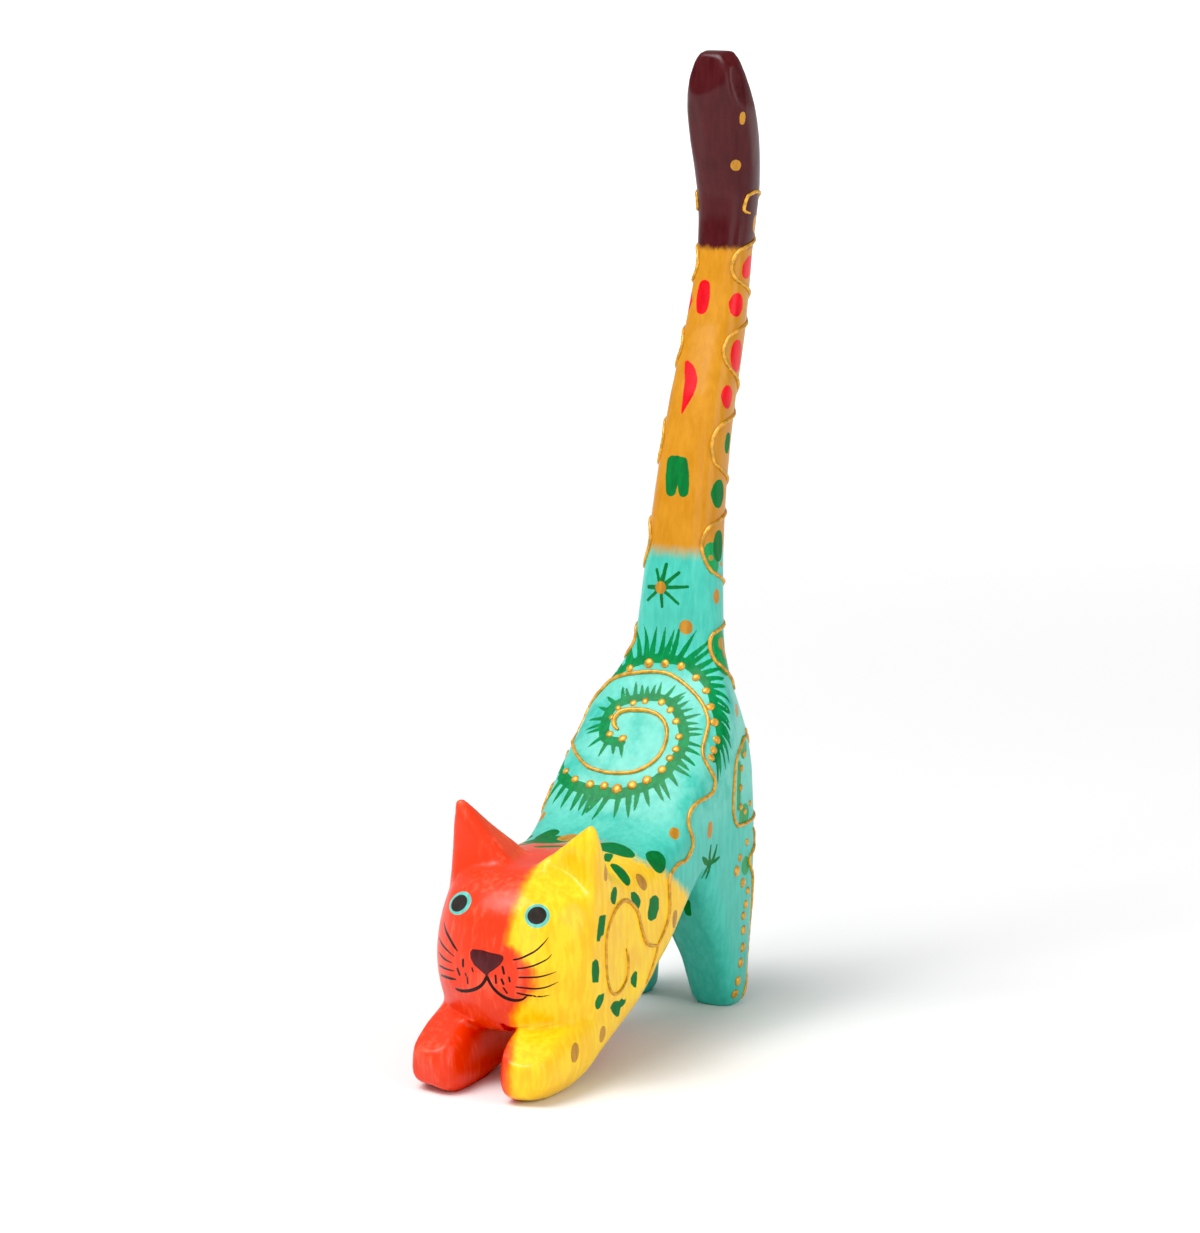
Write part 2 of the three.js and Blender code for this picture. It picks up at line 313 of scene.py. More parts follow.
class Surface:
    """The carving as something that marks are laid on."""

    def __init__(self, skin):
        self.tree = BVHTree.FromBMesh(skin)

    def touch(self, pixel):
        """Where the line of sight through a pixel meets the carving, and the way the carving faces there."""
        across = (pixel[0] - PHOTO_WIDTH / 2) / FOCAL_PIXELS
        down = (pixel[1] - PHOTO_HEIGHT / 2) / FOCAL_PIXELS
        sight = RIGHT * across - UP * down - BACK
        place, facing, _, _ = self.tree.ray_cast(EYE, sight.normalized())
        if place is None:
            depths = [CAMERA_DISTANCE + step * 3 * MM for step in range(-22, 23)]
            tries = [self.tree.find_nearest(EYE + sight * depth) for depth in depths]
            place, facing, _, _ = min(tries, key=lambda found: found[3])
        return place, facing

    def broad_touch(self, pixel):
        """As touch, with the facing averaged over a patch, so that the skin's small ripples don't tip it."""
        place, facing = self.touch(pixel)
        around = Vector(facing)
        for turn in range(8):
            angle = turn * math.pi / 4
            around += self.touch((pixel[0] + 7 * math.cos(angle), pixel[1] + 7 * math.sin(angle)))[1]
        return place, around.normalized()

    def nearest(self, point):
        """The place on the carving nearest to a point, and the way the carving faces there."""
        place, facing, _, _ = self.tree.find_nearest(point)
        return place, facing

    def trail(self, pixels):
        """Places and facings along a run of pixels."""
        pairs = [self.touch(pixel) for pixel in pixels]
        return [pair[0] for pair in pairs], [pair[1] for pair in pairs]


def flowing(points, step):
    """A smooth run through points, with a point about every step."""
    points = np.asarray(points, float)
    if len(points) < 3:
        count = max(2, int(np.linalg.norm(points[1] - points[0]) / step) + 1)
        return points[0] + (points[1] - points[0]) * np.linspace(0, 1, count)[:, None]
    padded = np.vstack([2 * points[0] - points[1], points, 2 * points[-1] - points[-2]])
    run = []
    for before, start, end, after in zip(padded, padded[1:], padded[2:], padded[3:]):
        count = max(1, int(round(np.linalg.norm(end - start) / step)))
        for share in np.arange(count) / count:
            run.append(0.5 * (
                2 * start
                + (end - before) * share
                + (2 * before - 5 * start + 4 * end - after) * share ** 2
                + (3 * start - before - 3 * end + after) * share ** 3
            ))
    run.append(points[-1])
    return np.array(run)


def mirrored(places):
    """Places carried over to the other side of the cat."""
    return [Vector((-place.x, place.y, place.z)) for place in places]


# Brush marks. A stroke is a run of pixels and its width in pixels at each, or one width for all.
WHISKER_STROKES = (
    (((444, 923), (446, 931), (450, 939), (454, 946), (457.5, 951)), (0.7, 1.8, 2.2, 2.2, 1.0)),
    (((439, 937), (442, 944), (447, 950), (454, 956.5)), (0.6, 1.4, 1.5, 0.8)),
    (((439, 952), (442, 956.5), (446, 960), (452, 963)), (0.6, 1.4, 1.5, 0.8)),
    (((439, 965), (443, 967.5), (448, 969.5), (454, 971)), (0.6, 1.5, 1.6, 0.9)),
    (((441, 975), (446, 977), (451, 978.5), (456, 979.5)), (0.9, 2.1, 2.3, 1.2)),
    (((513.5, 959.8), (520, 958.5), (528, 955), (536, 950.5), (543, 944), (548.5, 937.5)),
     (1.8, 2, 2, 1.8, 1.4, 0.6)),
    (((517.5, 968.5), (525, 967.8), (534, 965.5), (542, 962), (548, 958.5), (552, 954)),
     (1.6, 1.8, 1.8, 1.6, 1.2, 0.6)),
    (((519, 977.5), (528, 977.5), (538, 977), (547, 975), (557, 971.5)), (1.6, 1.8, 1.8, 1.4, 0.6)),
    (((516, 987), (525, 988), (535, 988.8), (545, 987.5), (553, 984.5), (558, 981.8)),
     (1.5, 1.8, 1.8, 1.6, 1.2, 0.6)),
    (((517, 993), (525, 994.8), (535, 996.2), (542, 996.5), (550, 995)), (1.6, 1.9, 1.8, 1.5, 0.7)),
)
MOUTH_STROKES = (
    (((486.5, 977), (484, 982), (480, 986.5), (474, 989.5), (467, 991), (460, 990.5), (455.5, 988.5)),
     (3.0, 3.2, 3.4, 3.6, 3.4, 2.8, 1.4)),
    (((487.5, 977.5), (490, 983), (494, 989), (500, 994.5), (507, 998.5), (515, 1000.5), (522, 999.5),
      (527, 996.5)),
     (3.0, 3.0, 3.0, 3.2, 3.4, 3.2, 2.6, 1.2)),
)
MUZZLE_SPOTS = (
    (((463, 960), (463, 966)), 2.2),
    (((457.5, 969), (459.5, 974.5)), 2.0),
    (((465.5, 973.5), (466, 975.5)), 1.4),
    (((467.3, 977.5), (467.8, 983.5)), 1.5),
    (((472, 968), (473, 971.5)), 1.5),
    (((502.5, 967), (504, 973.5)), 2.3),
    (((495.5, 975.5), (496, 983)), 2.0),
    (((501.5, 979.5), (503.5, 984)), 2.3),
    (((503.5, 988), (507, 993)), 1.8),
    (((509, 977.5), (509.8, 981.5)), 2.0),
)
NOSE_OUTLINE = (
    (472.5, 949), (482, 950), (490, 952.5), (500, 954.5), (503.5, 956.5), (503.5, 960), (500, 965),
    (495, 969), (489, 973), (486.5, 979), (485, 974.5), (481, 971), (474, 965), (470.5, 958), (470, 952),
)
# Eyes: centre across and down, the two half axes, and the slope of the longer one
EYE_RINGS = ((460.3, 903.2, 13.0, 9.6, 50), (537.3, 916, 12.8, 12, 20))
PUPILS = ((459.2, 903.2, 9.6, 6.9, 50), (537, 915.5, 9.8, 8.8, 20))

# Dabs: centre across and down, half length, half width, and the slope of the length from level, anticlockwise
FLANK_LEAVES = (
    (615, 849.5, 16, 8.5, -24), (608, 857.5, 7, 3.6, 70), (656.7, 860.5, 11.5, 9.4, 80),
    (621.4, 873.3, 11.6, 4.8, -50), (686.5, 904, 13, 3.4, 100),
)
# Leaves with corners, as outlines in pixels
CORNERED_LEAVES = (
    ((611.2, 892), (613.6, 887.2), (616.3, 886.7), (617.1, 891.2), (616.3, 899.2), (615.2, 904.8),
     (612, 904), (610.4, 899.2)),
    ((630.9, 892.5), (634.4, 891.5), (638.4, 895.2), (640.8, 900.8), (640, 905.6), (638.1, 910.4),
     (636, 908.8), (632.8, 904), (630.9, 897.6)),
    ((649.6, 899.2), (652.8, 896), (656, 895.2), (658.9, 898.4), (658.9, 908.8), (656, 918.4),
     (651.2, 921.3), (648, 919.2), (647.5, 913.6), (649.3, 904)),
    ((599.5, 916), (606.1, 914.4), (604.8, 926.4), (603.5, 935.2), (601.3, 936.3), (599.7, 941.1),
     (597.1, 942.1), (596.5, 939.2), (597.9, 926.4)),
    ((592, 962.4), (596, 958.7), (598.4, 961.6), (599.4, 971.2), (598.4, 982.4), (592.5, 982.9),
     (591.7, 972.8)),
    ((632.8, 973.6), (635.2, 970.9), (637.4, 972), (637.1, 979.2), (636, 988), (633.6, 986.9),
     (630.7, 983.2), (630.9, 977.6)),
    ((598.4, 995.2), (604.5, 992.8), (603.5, 1000), (600, 1008), (597.1, 1009.9), (595.2, 1007.2),
     (594.9, 1002.4), (596.8, 997.6)),
    ((609.9, 1008), (612.8, 1002.4), (615.2, 1000.8), (619.2, 1001.1), (621.6, 998.1), (624, 1000),
     (626.1, 997.9),
     (625.6, 1002.4), (623.2, 1005.6), (620.5, 1008), (618.9, 1016), (616.8, 1017.1), (612.8, 1013.6),
     (611.5, 1010.4)),
)
NAPE_LEAVES = (
    (547, 835, 9.8, 5.4, 24), (548, 846.5, 13, 3.2, 2),
)
FLANK_EARTH_DABS = (
    (606, 872, 7.6, 2.6, 88), (641.7, 882, 7.4, 3.8, -50), (674.8, 919, 7.6, 2.9, 86),
    (575, 1052.5, 8.2, 4, 84), (602.5, 1034.4, 6.6, 3.3, 80), (674.4, 833.3, 7.2, 5.4, 80),
    (710, 830, 7.2, 3.1, 86), (736.7, 710, 6, 2.1, 88),
)
NAPE_EARTH_DABS = (
    (569.4, 838, 9, 5.6, 10),
)
TAIL_LEAVES = (
    (676.7, 464, 7.6, 7.4, 90), (671.5, 476, 20.5, 6.0, 88), (683.0, 477, 20.5, 6.0, 92),
    (718.6, 494, 11.6, 6, 85), (727.6, 443, 8.8, 3.2, 84), (718.6, 546, 12.8, 5.2, 88),
)
TAIL_PEPPERS = (
    (703, 297, 17.6, 6.6, 84), (748, 267.4, 9.8, 4.8, 65), (737, 305, 11.6, 6.8, 80),
    (737, 356, 13, 5.8, 84), (727.6, 397, 10, 5.4, 86),
)
CHILI_STROKES = (
    (((687, 363), (689.5, 370), (691, 380), (689, 391), (685.5, 402), (681.8, 413)),
     (5, 10.5, 12.5, 11, 6.5, 1.6)),
)
TAIL_EARTH_DABS = (
    (742.5, 118.3, 6.6, 3.0, 86), (735.8, 165.3, 6.6, 5.4, 80), (755, 223.8, 7.2, 3.0, 84),
)
STAR_CENTRE = (660.6, 587.6)
STAR_RAYS = (
    ((666.4, 564.4), 4.4), ((678.9, 572.8), 4.2), ((687.8, 586.9), 3.8), ((678.3, 603.9), 3.4),
    ((662.2, 606.7), 3.4), ((647.8, 600), 3.2), ((648.6, 586.7), 5.0), ((656.7, 569.4), 3.2),
)
RUMP_EARTH_DABS = (
    (660.6, 587.6, 6.3, 5.2, 80), (686, 627.2, 7.8, 7.4, 10), (716.7, 596.7, 6, 3.2, 85),
    (711, 557.8, 3.2, 3, 0), (720.9, 563.9, 3.2, 2.8, 0), (721, 643.3, 4.6, 2.8, 84),
    (726, 652.8, 4.2, 2.6, 84),
)
TWIG_STROKES = (
    (((710, 865.6), (709.6, 857), (711, 845.6)), (2.4, 2.8, 1.6)),
    (((711, 863), (714.4, 855), (717, 845)), (2.2, 2.6, 1.4)),
    (((712, 863), (716, 860), (719.4, 857)), (2.0, 2.6, 1.4)),
    (((709, 864), (705, 872), (702, 878)), (2.0, 2.2, 1.2)),
    (((710, 866), (708, 873), (705.6, 879)), (2.0, 2.2, 1.2)),
    (((708.6, 864.4), (705.6, 861.5), (702.8, 858)), (2.6, 4.2, 2.0)),
)
LOOP_FILLS = (
    (712.5, 558, 15, 7.5, 100), (721, 652, 20, 7.5, 100), (745.6, 865.6, 6, 5, 90), (739, 786, 24, 2.4, 89),
    (743.6, 747, 9, 5, 85), (744, 815, 8, 6, 70),
)

# Gold: runs of pixels, and dots as centre and radius
SPIRAL_START = (
    (618.4, 730), (615, 726.6), (614.2, 721), (616.6, 715.4), (621.5, 711.8), (628, 710.2), (635.6, 710),
    (647.8, 711), (658.9, 715.6), (665.6, 724.4), (667, 735.6), (663.3, 748.9), (655.6, 760),
    (644.4, 767.8), (633.3, 772.2), (620, 773.3), (609, 772.8), (600, 771), (587, 766), (576, 753),
    (572, 740),
)
SPIRAL_END = (
    (602, 690), (611, 681), (622, 675.6), (636.7, 672.8), (652.2, 671.7), (666.7, 673.3), (677.8, 678.9),
    (688.9, 687.8), (700, 700), (706.7, 713.3), (708.3, 724.4), (705.6, 736.7), (702.8, 747.8),
    (703.3, 756.7), (707.8, 766.7), (713.3, 776.7), (714.4, 784.4), (712.2, 792.2), (705.6, 797.8),
    (697.8, 802.2), (691, 810), (688.3, 818.9), (688.9, 827.8), (691.7, 836.7), (692.2, 845.6),
    (688.9, 854.4), (684.4, 861), (677.8, 864.4), (671, 873.3), (669, 881), (669, 894.4), (669.4, 907.8),
    (667.8, 918.9), (664.4, 930), (659.4, 941), (657.8, 945), (655.6, 955.6), (652, 967), (648.6, 977),
    (645.6, 984.5),
)
FLANK_HOOK = (
    (657.8, 945), (652, 945.6), (646.7, 943.3), (643.3, 935.6), (640.6, 925.6), (637.8, 913.3),
    (633.3, 905.6), (627.8, 901), (623.3, 900.6), (617.8, 905.6), (612.2, 916.7), (607.8, 930),
    (606, 944.4), (606, 961), (606.7, 974.4), (608.9, 986.7), (612.2, 993.3), (616.7, 993.9),
    (622.2, 987.8), (626.7, 977.8), (628.3, 966.7), (627.8, 956.7), (626, 948.9),
)
TAIL_WAVE = (
    (750, 213), (744, 210), (746.7, 198), (753, 188), (760, 190), (761.7, 205), (760, 230), (756.7, 240),
    (743, 247), (734, 258), (732, 270), (738, 282), (749, 290), (751, 302), (748, 320), (742, 327),
    (730, 336), (724, 348), (725, 360), (732, 372), (739, 384), (739, 396), (736, 410), (730, 418),
    (720, 426), (713, 438), (712, 452), (716, 466), (726, 476), (726, 500), (724, 516), (710, 526),
    (702, 540), (702.2, 551), (706.7, 564.4), (714.4, 574.4), (722.2, 578.9), (725, 584.4), (725.6, 595.6),
    (726, 606.7), (725.6, 622.2), (720, 627.8), (713.3, 633.3), (710, 640), (710, 648.9), (713.3, 657.8),
    (720, 667.8), (727.8, 675.6), (734.4, 682.2), (736.7, 688.9),
)
HAUNCH_DROP = (
    (746.7, 734.4), (741, 735.6), (737.8, 743.3), (736, 756.7), (734.4, 774.4), (733.3, 792),
    (732.8, 803.3), (733.3, 814.4), (735.6, 823.3), (738.9, 827), (745.6, 825), (751, 820), (753.9, 812),
)
LEG_LINE = (
    (752.8, 827.8), (755.6, 838.9), (753.3, 847.8), (746.7, 856.7), (748.9, 867.8), (752, 872), (750, 905),
    (748, 940), (746, 975), (741, 998),
)
LOW_END = 14                           # the point of SPIRAL_END from which the other side repeats it
# Line widths in pixels: a share of the run and the width there
SPIRAL_WIDTH = (
    (0, 5.6), (0.05, 5.6), (0.1, 4.3), (0.3, 4.0), (0.42, 4.6), (0.6, 4.0), (0.8, 4.4), (0.9, 3.6),
    (1, 2.2),
)
HOOK_WIDTH = ((0, 3.6), (0.3, 4.2), (0.4, 3.2), (1, 3.0))
WAVE_WIDTH = ((0, 4.0), (1, 4.0))
DROP_WIDTH = ((0, 3.8), (1, 3.8))
LEG_WIDTH = ((0, 4.0), (1, 3.4))
RIM = 0.42                             # a place that faces the camera less than this is on the outline
ROUND_THE_RIM = 2.8                    # mm, the most that a line goes on round the outline
RIM_ROUNDS = 22                        # how often a line's corners by the outline are eased
# Steps along a run, in pixels
STROKE_STEP = 2.0
LINE_STEP = 2.2
ROW_STEP = 1.6
# How far the runs out of sight bulge, in mm
DOTS_BULGE = Vector((-9, 0, 0))
SPIRAL_BULGE = Vector((-8, 0, 0))
DROP_BULGE = RIGHT * 2 - BACK * 5
HAIR_SEED = 7
GOLD_SEED = 3
INNER_DOTS = (
    (622.8, 738.3, 4.3), (609.8, 733.9, 3.8), (612, 716.9, 3), (618.3, 708, 3), (633.3, 702.8, 3.5),
    (645.3, 701, 3.7), (661.7, 702.2, 4), (670.2, 710, 3.8), (676, 721.3, 4), (679, 736.7, 4),
    (675.9, 749, 4), (669.7, 758, 4), (662, 769.4, 4.4), (646.9, 780, 5), (632, 785, 5),
    (616.9, 788.7, 5.4), (604.2, 785.6, 4.5), (590, 784, 4.5), (575, 779, 4), (566, 771, 3.5),
)
OUTER_DOTS = (
    (629.8, 668.3, 4), (648.9, 663.3, 5), (665, 663.7, 4.3), (681, 666.3, 4.3), (696, 677.8, 4),
    (706, 690.6, 4), (710.6, 706.7, 4.3), (714.4, 722.4, 4.3), (716.7, 739.8, 4.2), (713.7, 750, 4),
    (711.3, 757.5, 3.8),
)
HAUNCH_DOTS = (
    (744.4, 754.4, 3.6), (741.7, 768.3, 3.6), (740.9, 787.8, 3.6), (741, 806.7, 3.4), (744.8, 811.7, 3.2),
    (750, 803.3, 3.2), (746, 731, 3.6),
)
LEG_DOTS = (
    (747, 842, 3.6), (740, 857.8, 4), (736.7, 871, 5.4), (742.8, 882.8, 4.8), (747.8, 890.6, 3.8),
    (745.6, 904.4, 4.4), (743.3, 915.6, 4.4), (743.3, 930, 4.8), (742.8, 947.2, 4.8), (740.6, 962.8, 4.9),
    (737.8, 981, 4.9), (735, 993.9, 4.6),
)


class Mark:
    """One stroke of paint lying on the carving: its places in mm, its half widths in mm and its facing."""

    def __init__(self, places, halves, facing):
        self.places = np.array([tuple(place) for place in places]) / MM
        self.halves = np.array(halves)
        self.facing = np.array(tuple(facing))

    def over(self):
        """The same mark on the other side of the cat."""
        other = Mark([], [], (-self.facing[0], self.facing[1], self.facing[2]))
        other.places = self.places * (-1, 1, 1)
        other.halves = self.halves
        return other

    def gap(self, points):
        """The mm from each point to the mark's edge, below zero inside it."""
        best = np.full(len(points), FAR_OFF)
        for i in range(len(self.places) - 1):
            along = self.places[i + 1] - self.places[i]
            share = np.clip(((points - self.places[i]) @ along) / max(along @ along, 1e-9), 0, 1)
            apart = np.linalg.norm(points - self.places[i] - share[:, None] * along, axis=1)
            half = self.halves[i] + share * (self.halves[i + 1] - self.halves[i])
            best = np.minimum(best, apart - half)
        return best


class Patch(Mark):
    """A dab with corners: its outline's places in mm and its facing."""

    def __init__(self, places, facing):
        super().__init__(places, [0.0], facing)

    def over(self):
        """The same patch on the other side of the cat."""
        other = Patch([], (-self.facing[0], self.facing[1], self.facing[2]))
        other.places = self.places * (-1, 1, 1)
        return other

    def gap(self, points):
        """The mm from each point to the outline, measured in the plane that the patch lies in."""
        across = np.cross(self.facing, (0, 0, 1))
        across /= np.linalg.norm(across)
        up = np.cross(across, self.facing)
        plane = np.stack([across, up], 1)
        return outline_gap(points @ plane, self.places @ plane)


def cornered(surface, outline):
    """A patch from an outline of pixels."""
    places, facings = surface.trail(outline)
    facing = sum(facings, Vector()).normalized()
    return Patch(places, facing)


def laid_half(width, direction, place, facing):
    """Half the width in mm of a stroke that looks width pixels wide on a surface seen at a slant."""
    across = RIGHT * direction[1] + UP * direction[0]
    slant = across.dot(facing) / max(0.2, BACK.dot(facing))
    stretch = min(1.9, math.sqrt(1 + slant * slant))
    scale = (EYE - place).dot(BACK) / FOCAL_PIXELS / MM
    return width / 2 * scale * stretch


def brushed(surface, pixels, widths):
    """A mark from a run of pixels with a width in pixels at each, or one for all."""
    if np.isscalar(widths):
        widths = [widths] * len(pixels)
    run = flowing([(*pixel, width) for pixel, width in zip(pixels, widths)], STROKE_STEP)
    places, facings = surface.trail(run[:, :2])
    halves = []
    for i, (place, facing) in enumerate(zip(places, facings)):
        ahead = run[min(i + 1, len(run) - 1)] - run[max(i - 1, 0)]
        length = max(1e-6, math.hypot(ahead[0], ahead[1]))
        halves.append(laid_half(max(run[i, 2], 0.2), (ahead[0] / length, ahead[1] / length), place, facing))
    middle = facings[len(facings) // 2]
    return Mark(places, halves, middle)


def dabbed(surface, across, down, half_length, half_width, slope):
    """A mark from one press of the brush, blunt and a little fuller in the middle."""
    angle = math.radians(slope)
    reach = max(half_length - half_width, 0.3)
    shares = np.linspace(-1, 1, 5)
    pixels = [(across + s * reach * math.cos(angle), down - s * reach * math.sin(angle)) for s in shares]
    widths = [2 * half_width * (1 - 0.16 * s * s) for s in shares]
    return brushed(surface, pixels, widths)


# The spiral's fringe

TURN_SPAN = 4                          # places on each side that say which way a row of dots runs
HAIR_START = 0.9                       # mm from the dots
HAIR_SWELL = (1.2, 1.05, 0.9, 0.72, 0.46, 0.1)


class Fringe:
    """A row of green hairs that stand off one side of a row of dots, out of a green band."""

    def __init__(self, places, facings):
        self.places = places
        self.facings = facings

    def outward(self, i):
        """The way along the skin that leads away from the spiral's middle at place i, and the way ahead."""
        after = self.places[min(i + TURN_SPAN, len(self.places) - 1)]
        before = self.places[max(i - TURN_SPAN, 0)]
        ahead = (after - before).normalized()
        return self.facings[i].cross(ahead).normalized(), ahead


def along_row(hairs, share, column):
    """One measure of the hairs at a place along the row."""
    return float(np.interp(share, [row[0] for row in hairs], [row[column] for row in hairs]))


def band_marks(surface, fringe, hairs):
    """The band as short marks, each laid a little outside the dots."""
    points = []
    halves = []
    for i in range(len(fringe.places)):
        outward, _ = fringe.outward(i)
        half = along_row(hairs, i / (len(fringe.places) - 1), 5)
        points.append(surface.nearest(fringe.places[i] + outward * half * MM))
        halves.append(half)
    marks = []
    for i, (first, second) in enumerate(zip(points, points[1:])):
        marks.append(Mark([first[0], second[0]], halves[i:i + 2], first[1]))
    return marks


def hair_marks(surface, fringe, hairs, chance):
    """The hairs. Each row of hairs gives a place along the dots, 0 to 1, and the measures there."""
    marks = []
    walked = [0.0]
    for first, second in zip(fringe.places, fringe.places[1:]):
        walked.append(walked[-1] + (second - first).length / MM)
    at = 0.0
    while at < walked[-1]:
        i = int(np.searchsorted(walked, at))
        share = at / walked[-1]
        length, root, lean, period = [along_row(hairs, share, column) for column in (1, 2, 3, 4)]
        outward, ahead = fringe.outward(i)
        length *= chance.uniform(0.82, 1.1)
        lean += chance.uniform(-0.09, 0.09)
        way = (outward + ahead * lean).normalized()
        start = fringe.places[i] + outward * HAIR_START * MM
        bend = ahead * chance.uniform(-0.10, 0.10)
        places = []
        for s in np.linspace(0, 1, 6):
            places.append(surface.nearest(start + (way + bend * s) * length * s * MM)[0])
        halves = [root * part * chance.uniform(0.9, 1.1) for part in HAIR_SWELL]
        marks.append(Mark(places, halves, fringe.facings[i]))
        at += period * chance.uniform(0.88, 1.12)
    return marks


# How the hairs change along a row: place 0 to 1, length mm, half root mm, lean, period mm, half band mm
INNER_HAIRS = (
    (0, 4.8, 0.58, -0.5, 1.3, 1.15), (0.12, 4.8, 0.54, 0.0, 1.3, 1.15), (0.3, 3.8, 0.50, 0.1, 1.25, 0.9),
    (0.45, 4.6, 0.54, 0.2, 1.35, 1.1), (0.6, 5.8, 0.60, 0.3, 1.5, 1.25), (0.75, 8.0, 0.70, 0.15, 1.75, 1.3),
    (1, 7.2, 0.68, -0.1, 1.75, 1.3),
)
OUTER_HAIRS = (
    (0, 5.0, 0.56, 0.0, 1.4, 1.0),
    (0.3, 7.8, 0.64, 0.0, 1.55, 1.0),
    (0.5, 8.2, 0.62, 0.2, 1.5, 0.95),
    (0.75, 8.0, 0.54, 0.5, 1.5, 0.8),
    (1, 7.6, 0.50, 1.0, 1.5, 0.7),
)


def joined_run(surface, first, last, bulge):
    """A run on the skin from one place to another out of sight, bulging by a vector in mm."""
    places = []
    facings = []
    for s in np.linspace(0, 1, 24)[1:-1]:
        point = first.lerp(last, s) + bulge * MM * 4 * s * (1 - s)
        place, facing = surface.nearest(point)
        places.append(place)
        facings.append(facing)
    return places, facings


def dot_row(surface, dots):
    """A smooth run through a row of dots."""
    return surface.trail(flowing([(dot[0], dot[1]) for dot in dots], ROW_STEP))


def spiral_rows(surface):
    """The inner and the outer row of dots as fringes, with the stretch out of sight between them."""
    inner_places, inner_facings = dot_row(surface, INNER_DOTS)
    outer_places, outer_facings = dot_row(surface, OUTER_DOTS)
    hidden_places, hidden_facings = joined_run(surface, inner_places[-1], outer_places[0], DOTS_BULGE)
    inner = Fringe(inner_places, inner_facings)
    outer = Fringe(hidden_places + outer_places, hidden_facings + outer_facings)
    return inner, outer


def leaf_marks(surface):
    """All dark green marks but the spiral's fringe."""
    flank = [dabbed(surface, *dab) for dab in FLANK_LEAVES]
    flank += [cornered(surface, outline) for outline in CORNERED_LEAVES]
    tail = [dabbed(surface, *dab) for dab in TAIL_LEAVES[3:]]
    single = [dabbed(surface, *dab) for dab in NAPE_LEAVES + TAIL_LEAVES[:3]]
    star = [brushed(surface, (STAR_CENTRE, tip), (width * 1.1, width * 0.8)) for tip, width in STAR_RAYS]
    twig = [brushed(surface, *stroke) for stroke in TWIG_STROKES]
    return both_sides(flank + tail + twig) + single + star


def fringe_marks(surface):
    """The green band and hairs outside the two rows of dots."""
    chance = random.Random(HAIR_SEED)
    marks = []
    for fringe, hairs in zip(spiral_rows(surface), (INNER_HAIRS, OUTER_HAIRS)):
        marks += hair_marks(surface, fringe, hairs, chance) + band_marks(surface, fringe, hairs)
    return marks


def both_sides(marks):
    """Marks and the same marks on the other side of the cat."""
    return marks + [mark.over() for mark in marks]


def loop_fills(surface):
    """All bright green marks: the fills of the gold loops."""
    return both_sides([dabbed(surface, *dab) for dab in LOOP_FILLS])


def edge_distance(points, normals, marks):
    """For each point of the skin, the mm to the nearest edge of any mark; below zero inside a mark."""
    distance = np.full(len(points), FAR_OFF)
    for mark in marks:
        margin = mark.halves.max() + FAR_OFF
        low = mark.places.min(0) - margin
        high = mark.places.max(0) + margin
        close = np.all((points > low) & (points < high), axis=1) & (normals @ mark.facing > 0.1)
        chosen = np.flatnonzero(close)
        if not len(chosen):
            continue
        distance[chosen] = np.minimum(distance[chosen], mark.gap(points[chosen]))
    return distance


def oval(across, down, long_half, short_half, slope):
    """The outline of an oval in pixels."""
    turn = math.radians(slope)
    outline = []
    for step in range(24):
        angle = step * math.pi / 12
        x, y = long_half * math.cos(angle), short_half * math.sin(angle)
        outline.append((across + x * math.cos(turn) - y * math.sin(turn),
                        down - x * math.sin(turn) - y * math.cos(turn)))
    return outline


def outline_distance(points, normals, outline, surface):
    """As edge_distance, for a filled outline of pixels."""
    middle, facing = surface.touch(np.mean(outline, axis=0))
    distance = np.full(len(points), FAR_OFF)
    near = np.linalg.norm(points - np.array(tuple(middle)) / MM, axis=1) < 9
    chosen = np.flatnonzero(near & (normals @ np.array(tuple(facing)) > 0))
    pixel = CAMERA_DISTANCE / FOCAL_PIXELS / MM
    gap = outline_gap(photo_places(points[chosen]), np.array(outline, float)) * pixel
    distance[chosen] = np.clip(gap, -FAR_OFF, FAR_OFF)
    return distance


def outline_gap(points, corners):
    """How far points of a plane are from a closed outline, below zero inside it."""
    inside = np.zeros(len(points), bool)
    best = np.full(len(points), np.inf)
    for start, end in zip(corners, np.roll(corners, -1, axis=0)):
        along = end - start
        share = np.clip(((points - start) @ along) / (along @ along), 0, 1)
        best = np.minimum(best, np.linalg.norm(points - start - share[:, None] * along, axis=1))
        crosses = (start[1] > points[:, 1]) != (end[1] > points[:, 1])
        rise = end[1] - start[1] if end[1] != start[1] else 1e-9
        meets = start[0] + (points[:, 1] - start[1]) / rise * along[0]
        inside ^= crosses & (points[:, 0] < meets)
    return np.where(inside, -best, best)


def photo_places(points):
    """Where points in mm lie in the photograph, in pixels."""
    offset = points * MM - np.array(tuple(EYE))
    depth = -offset @ np.array(tuple(BACK))
    across = PHOTO_WIDTH / 2 + FOCAL_PIXELS * (offset @ np.array(tuple(RIGHT))) / depth
    down = PHOTO_HEIGHT / 2 - FOCAL_PIXELS * (offset @ np.array(tuple(UP))) / depth
    return np.stack([across, down], 1)


def skin_arrays(skin):
    """Places in mm and facings of the skin's points."""
    places = np.array([tuple(vert.co) for vert in skin.verts]) / MM
    normals = np.array([tuple(vert.normal) for vert in skin.verts])
    return places, normals


def paint_distances(skin, surface, marks):
    """The edge distance of each paint, by name."""
    points, normals = skin_arrays(skin)
    distances = {name: edge_distance(points, normals, group) for name, group in marks.items()}
    distances["nose"] = outline_distance(points, normals, NOSE_OUTLINE, surface)
    for name, ovals in (("eye_ring", EYE_RINGS), ("pupil", PUPILS)):
        shapes = [outline_distance(points, normals, oval(*shape), surface) for shape in ovals]
        distances[name] = np.minimum(*shapes)
    return distances


